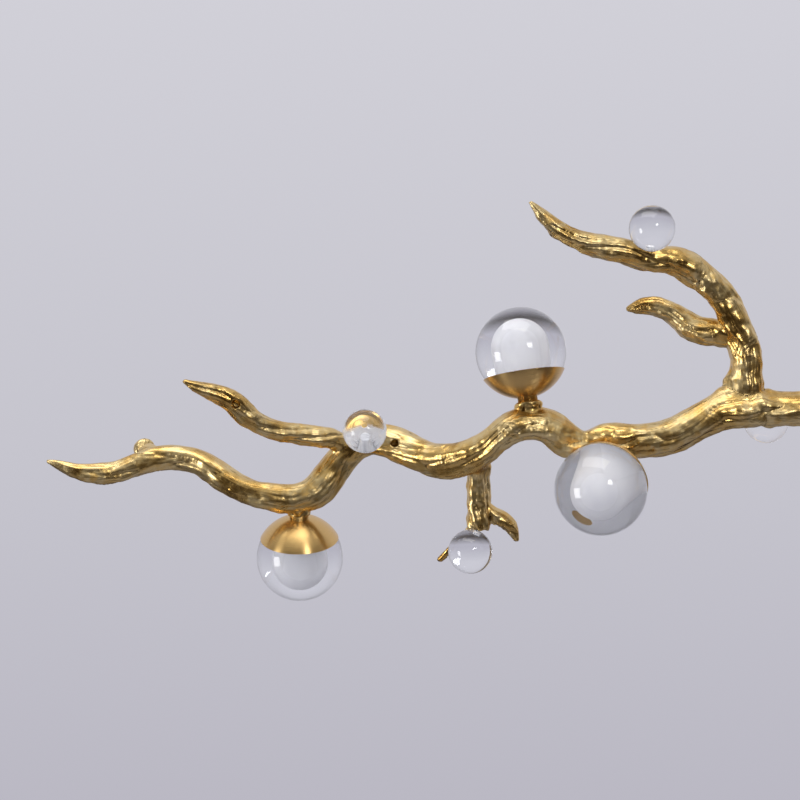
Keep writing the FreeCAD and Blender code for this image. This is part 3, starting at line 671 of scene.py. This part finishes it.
def keepSkinNormals(mesh):
    # The light runs on across a seam, because both castings keep the skin's normals.
    mesh.normals_split_custom_set_from_vertices(readSkinNormals(mesh).tolist())
    mesh.attributes.remove(mesh.attributes["skinNormal"])


def mirrorTrunk(piece):
    # The trunk's left half and the same half turned, bridged under the stem's collar.
    cut = 0.0008
    selectOnly(piece)
    bpy.ops.object.mode_set(mode="EDIT")
    bpy.ops.mesh.select_all(action="SELECT")
    bpy.ops.mesh.bisect(plane_co=(-cut, 0, 0), plane_no=(1, 0, 0), clear_outer=True)
    bpy.ops.object.mode_set(mode="OBJECT")
    other = turnedCopy(piece, "trunk_other_half")
    turnSkinNormals(other.data)
    selectOnly(piece, other)
    bpy.ops.object.join()
    bpy.context.tool_settings.mesh_select_mode = (False, True, False)
    bpy.ops.object.mode_set(mode="EDIT")
    bpy.ops.mesh.select_all(action="DESELECT")
    bpy.ops.object.mode_set(mode="OBJECT")
    mesh = piece.data
    across = np.abs(readPoints(mesh)[:, 0]) < cut * 1.05
    mesh.edges.foreach_set("select", across[readEdges(mesh)].all(1))
    bpy.ops.object.mode_set(mode="EDIT")
    bpy.ops.mesh.bridge_edge_loops()
    bpy.ops.object.mode_set(mode="OBJECT")


def turnSkinNormals(mesh):
    turned = readSkinNormals(mesh) * (-1, -1, 1)
    attribute = mesh.attributes["skinNormal"]
    attribute.data.foreach_set("vector", turned.astype(np.float32).ravel())


def turnedCopy(piece, node):
    # The same piece on the other side of the stem, with its own mesh.
    copy = bpy.data.objects.new(pieceName(node), piece.data.copy())
    scene.collection.objects.link(copy)
    copy.data.transform(Matrix.Rotation(math.pi, 4, "Z"))
    return copy


castings = castSet(castNames, 3.1)
for node, piece in castings.items():
    placePiece(piece, node)
    if node != "centre_trunk":
        other = node.replace("left_", "right_")
        placePiece(turnedCopy(piece, other), other)
print("castings carved")


smoothBelow = {"turned": 35, "bead": 30}  # degrees


def turnedPiece(node, axisPoint, axis, material):
    # A welded copy whose UV map runs round its axis.
    piece = copyOfNode(node, pieceName(node))
    mesh = piece.data
    axis = np.array(axis, float)
    side = np.cross(axis, (0, 0, 1) if abs(axis[2]) < 0.8 else (0, 1, 0))
    side /= np.linalg.norm(side)
    above = np.cross(axis, side)
    offset = readPoints(mesh) - np.array(axisPoint)
    height = offset @ axis
    angle = np.arctan2(offset @ above, offset @ side)
    radius = np.sqrt((offset @ above) ** 2 + (offset @ side) ** 2)
    corners = cornerVertices(mesh)
    starts = np.zeros(len(mesh.polygons), dtype=np.int64)
    sizes = np.zeros(len(mesh.polygons), dtype=np.int64)
    mesh.polygons.foreach_get("loop_start", starts)
    mesh.polygons.foreach_get("loop_total", sizes)
    face = np.repeat(np.arange(len(starts)), sizes)
    around = angle[corners]
    widest = np.maximum.reduceat(around, starts)
    around = np.where(widest[face] - around > math.pi, around + 2 * math.pi, around)
    layer = mesh.uv_layers.new(name="turned")
    spread = np.stack([around / (2 * math.pi), (height + radius * 0.8)[corners]], axis=1)
    layer.uv.foreach_set("vector", spread.astype(np.float32).ravel())
    selectOnly(piece)
    bpy.ops.object.shade_smooth_by_angle(angle=math.radians(smoothBelow["turned"]))
    mesh.materials.clear()
    mesh.materials.append(material)
    placePiece(piece, node)
    return piece


lampAims = {1: (0, 0.342, -0.940), 2: (-0.137, 0.113, 0.984), 3: (-0.455, -0.707, -0.542)}
globeShape = {"radius": 0.040, "bore": 0.017, "boreEnd": 0.003, "polished": 0.985,
              "onBall": 0.9985, "onBore": 1.004}
capShape = {"radius": 0.0403, "paleLiningAngle": 55.0}


def globeCentre(node, aim):
    # The globe is a ball with its mouth cut off, so its middle is found from its far pole.
    points = readPoints(nodes[node].data)
    pole = points[(points @ aim).argmax()]
    return np.array(pole) - aim * globeShape["radius"]


def makeGlobe(node, centre, aim):
    # A clear ball whose bore is ground.
    piece = copyOfNode(node, pieceName(node))
    mesh = piece.data
    mesh.materials.append(crystal)
    mesh.materials.append(frost)
    far = np.linalg.norm(readPoints(mesh) - centre, axis=1)
    polished = globeShape["radius"] * globeShape["polished"]
    for face in mesh.polygons:
        middle = np.mean([far[index] for index in face.vertices])
        face.material_index = 1 if middle < polished else 0
    selectOnly(piece)
    bpy.ops.object.shade_smooth()
    trueNormals(mesh, centre, aim)
    placePiece(piece, node)


def trueNormals(mesh, centre, aim):
    # The ball's and the bore's own normals, so that nothing in the glass looks faceted.
    points = readPoints(mesh) - centre
    height = points @ aim
    axisPoint = np.minimum(height, globeShape["boreEnd"])[:, None] * aim
    ball = points / np.linalg.norm(points, axis=1)[:, None]
    bore = axisPoint - points
    bore /= np.maximum(np.linalg.norm(bore, axis=1), 1e-9)[:, None]
    least = globeShape["radius"] * globeShape["onBall"]
    most = globeShape["bore"] * globeShape["onBore"]
    onBall = np.linalg.norm(points, axis=1) > least
    onBore = np.linalg.norm(axisPoint - points, axis=1) < most
    normals = np.zeros((len(mesh.loops), 3))
    for face in mesh.polygons:
        own = list(face.vertices)
        corners = list(face.loop_indices)
        if onBall[own].all():
            normals[corners] = ball[own]
        elif onBore[own].all():
            normals[corners] = bore[own]
        else:
            normals[corners] = face.normal
    mesh.normals_split_custom_set(normals.tolist())


def makeCap(node, centre, aim):
    # Satin brass outside and at the rim; inside, where the crystal shows it, a white lining made
    # as pale as the backdrop.
    cap = turnedPiece(node, centre, aim, spunBrass)
    edge = capShape["radius"] * math.cos(math.radians(capShape["paleLiningAngle"]))
    selectOnly(cap)
    bpy.ops.object.mode_set(mode="EDIT")
    bpy.ops.mesh.select_all(action="SELECT")
    bpy.ops.mesh.bisect(plane_co=centre - aim * edge, plane_no=aim)
    bpy.ops.object.mode_set(mode="OBJECT")
    cap.data.materials.append(capLining)
    for face in cap.data.polygons:
        offset = Vector(face.center) - Vector(centre)
        inward = offset.dot(face.normal) < -0.5 * offset.length
        face.material_index = 1 if inward and -offset.dot(Vector(aim)) > edge else 0


for side in ("left", "right"):
    for number, aim in lampAims.items():
        aim = np.array(aim) / np.linalg.norm(aim)
        if side == "right":
            aim = aim * (-1, -1, 1)
        lamp = f"{side}_lamp_{number}_"
        centre = globeCentre(lamp + "globe", aim)
        makeGlobe(lamp + "globe", centre, aim)
        makeCap(lamp + "cap", centre, aim)
        turnedPiece(lamp + "ferrule", centre, aim, turnedBrass)
print("lamps ready")

beadShape = {"radius": 0.020, "seatAngle": 20.0, "seatSpread": 40, "polished": 0.97}


def looseParts(mesh):
    # The number of the loose part that each vertex belongs to.
    part = np.arange(len(mesh.vertices))
    edges = readEdges(mesh)
    changed = True
    while changed:
        before = part.copy()
        lowest = np.minimum(part[edges[:, 0]], part[edges[:, 1]])
        np.minimum.at(part, edges[:, 0], lowest)
        np.minimum.at(part, edges[:, 1], lowest)
        part = part[part]
        changed = (part != before).any()
    return part


def makeBeads(node):
    # Clear balls, ground where the pin goes in and round it.
    piece = copyOfNode(node, pieceName(node))
    mesh = piece.data
    points = readPoints(mesh)
    part = looseParts(mesh)
    polished = beadShape["radius"] * beadShape["polished"]
    seat = np.zeros(len(points))
    for number in np.unique(part):
        own = part == number
        offset = points[own] - (points[own].max(0) + points[own].min(0)) / 2
        far = np.linalg.norm(offset, axis=1)
        drilled = offset[far < polished].mean(0)
        turn = np.degrees(np.arccos(offset @ drilled / far / np.linalg.norm(drilled)))
        edge = (beadShape["seatAngle"] - turn) / beadShape["seatSpread"]
        seat[own] = np.where(far < polished, 1.0, np.clip(0.5 + edge, 0, 1))
    attribute = mesh.attributes.new("seat", "FLOAT", "POINT")
    attribute.data.foreach_set("value", seat.astype(np.float32))
    mesh.materials.append(beadCrystal)
    selectOnly(piece)
    bpy.ops.object.shade_smooth_by_angle(angle=math.radians(smoothBelow["bead"]))
    placePiece(piece, node)


makeBeads("left_beads")
makeBeads("right_beads")
print("beads ready")

ceilingGroup = ["canopy", "canopy_ring", "stem", "stem_collar", "swivel_ball", "swivel_ring",
                "swivel_socket"]
for node in ceilingGroup:
    turnedPiece(node, (0, 0, 0), (0, 0, 1), turnedBrass)
print("ceiling group ready")

keptNodes = {
    "ceiling_plate": steel, "plate_bolts": steel, "swivel_nut": steel, "set_screws": steel,
    "led_driver": driverPlastic, "terminal_block": terminalPlastic,
    "nipples": steel, "bead_pins": steel,
}
for side in ("left", "right"):
    for number in lampAims:
        keptNodes[f"{side}_lamp_{number}_holder"] = ceramic
        keptNodes[f"{side}_lamp_{number}_bulb"] = bulbGlass
for node, material in keptNodes.items():
    nodes[node].data.materials.clear()
    nodes[node].data.materials.append(material)
print("other nodes ready")


view = {"place": (-0.4317, -1.600, -0.5921), "focalPixels": 1816.0, "imagePixels": 800.0,
        "sensorWidth": 36.0}
camera = bpy.data.objects.new("camera", bpy.data.cameras.new("camera"))
scene.collection.objects.link(camera)
camera.data.sensor_width = view["sensorWidth"]
camera.data.lens = view["sensorWidth"] * view["focalPixels"] / view["imagePixels"]
camera.location = view["place"]
camera.rotation_euler = (math.radians(90), 0, 0)
scene.camera = camera

middle = Vector((-0.43, 0, -0.6))
lights = [
    # name, direction from the object, distance, width, height, power, colour
    ("window", (-0.88, -0.43, -0.16), 2.4, 0.7, 0.9, 18.0, "#FFFFFF"),
    ("softbox", (0.35, -0.88, 0.29), 2.4, 0.45, 0.45, 9.0, "#FFFFFF"),
    ("overhead", (-0.15, -0.25, 1.0), 2.2, 2.2, 1.2, 20.0, "#FFFDF8"),
]
for name, heading, distance, width, height, power, colour in lights:
    lamp = bpy.data.lights.new(name, "AREA")
    lamp.shape = "RECTANGLE"
    lamp.size = width
    lamp.size_y = height
    lamp.energy = power
    lamp.color = hexColour(colour)[:3]
    holder = bpy.data.objects.new(name, lamp)
    scene.collection.objects.link(holder)
    heading = Vector(heading).normalized()
    holder.location = middle + heading * distance
    holder.rotation_euler = heading.to_track_quat("Z", "Y").to_euler()
    holder.visible_camera = False

backdrop = {"top": "#D1D0D8", "middle": "#C6C5CE", "bottom": "#BAB8C3",
            "roomFloor": "#2A2520", "roomWall": "#4A423A", "roomCeiling": "#DDDCDA",
            "levelLow": "#D3D2DA", "levelHigh": "#F6F6FA",
            "wallRise": 0.22, "roomRise": (-0.8, 0.9), "wallStart": (-0.25, 0.35),
            "wallFoot": (-0.60, -0.30)}


def makeWorld():
    # A pale backdrop in front of the camera, a dimmer room behind it, and one even level for
    # the light that has already been scattered.
    world = bpy.data.worlds.new("studio")
    world.use_nodes = True
    scene.world = world
    tree = world.node_tree
    coords = addNode(tree, "ShaderNodeTexCoord", (-1300, 0))
    split = addNode(tree, "ShaderNodeSeparateXYZ", (-1100, 0),
                    links={"Vector": coords.outputs["Generated"]})
    rise = addNode(tree, "ShaderNodeMapRange", (-900, 200),
                   {"From Min": -backdrop["wallRise"], "From Max": backdrop["wallRise"]},
                   {"Value": split.outputs["Z"]})
    wall = addNode(tree, "ShaderNodeValToRGB", (-700, 200), links={"Fac": rise.outputs["Result"]},
                   stops=[(0.0, backdrop["bottom"]), (0.45, backdrop["middle"]),
                          (1.0, backdrop["top"])])
    height = addNode(tree, "ShaderNodeMapRange", (-900, -100),
                     {"From Min": backdrop["roomRise"][0], "From Max": backdrop["roomRise"][1]},
                     {"Value": split.outputs["Z"]})
    room = addNode(tree, "ShaderNodeValToRGB", (-700, -100),
                   links={"Fac": height.outputs["Result"]},
                   stops=[(0.0, backdrop["roomFloor"]), (0.55, backdrop["roomWall"]),
                          (1.0, backdrop["roomCeiling"])])
    front = addNode(tree, "ShaderNodeMapRange", (-900, -350),
                    {"From Min": backdrop["wallStart"][0], "From Max": backdrop["wallStart"][1]},
                    {"Value": split.outputs["Y"]})
    steep = addNode(tree, "ShaderNodeMapRange", (-900, -550),
                    {"From Min": backdrop["wallFoot"][0], "From Max": backdrop["wallFoot"][1]},
                    {"Value": split.outputs["Z"]})
    wallShare = addNode(tree, "ShaderNodeMath", (-600, -350),
                        links={0: front.outputs["Result"], 1: steep.outputs["Result"]},
                        operation="MULTIPLY")
    around = addNode(tree, "ShaderNodeMix", (-400, 0),
                     links={"Factor": wallShare.outputs["Value"], "A": room.outputs["Color"],
                            "B": wall.outputs["Color"]}, data_type="RGBA")
    rays = addNode(tree, "ShaderNodeLightPath", (-400, 400))
    seen = addNode(tree, "ShaderNodeMix", (-200, 100),
                   links={"Factor": rays.outputs["Is Camera Ray"], "A": around.outputs["Result"],
                          "B": wall.outputs["Color"]}, data_type="RGBA")
    level = addNode(tree, "ShaderNodeValToRGB", (-700, -600),
                    links={"Fac": height.outputs["Result"]},
                    stops=[(0.0, backdrop["levelLow"]), (1.0, backdrop["levelHigh"])])
    scattered = addNode(tree, "ShaderNodeMath", (-200, -300), {1: 0.5},
                        {0: rays.outputs["Diffuse Depth"]}, operation="GREATER_THAN")
    light = addNode(tree, "ShaderNodeMix", (0, 100),
                    links={"Factor": scattered.outputs["Value"], "A": seen.outputs["Result"],
                           "B": level.outputs["Color"]}, data_type="RGBA")
    tree.links.new(light.outputs["Result"], tree.nodes["Background"].inputs["Color"])


makeWorld()

floorShape = {"height": -2.3, "radius": 3.6, "solid": 1.2, "gone": 2.6, "sides": 96,
              "colour": "#8C8A90", "roughness": 0.9}
bpy.ops.object.select_all(action="DESELECT")
bpy.ops.mesh.primitive_circle_add(vertices=floorShape["sides"], radius=floorShape["radius"],
                                  fill_type="NGON", location=(0, 0, floorShape["height"]))
floor = bpy.context.object
floor.name = "floor"
floorMaterial, floorTree, floorShader = newMaterial("paleFloor")
floorShader.inputs["Base Color"].default_value = hexColour(floorShape["colour"])
floorShader.inputs["Roughness"].default_value = floorShape["roughness"]
floorCoords = addNode(floorTree, "ShaderNodeTexCoord", (-900, 0))
floorFar = addNode(floorTree, "ShaderNodeVectorMath", (-700, 0),
                   links={0: floorCoords.outputs["Object"]}, operation="LENGTH")
floorFade = addNode(floorTree, "ShaderNodeMapRange", (-500, 0),
                    {"From Min": floorShape["solid"], "From Max": floorShape["gone"],
                     "To Min": 1.0, "To Max": 0.0}, {"Value": floorFar.outputs["Value"]})
floorTree.links.new(floorFade.outputs["Result"], floorShader.inputs["Alpha"])
floor.data.materials.append(floorMaterial)
scene.view_settings.view_transform = "Standard"
print("camera, light and stage ready")
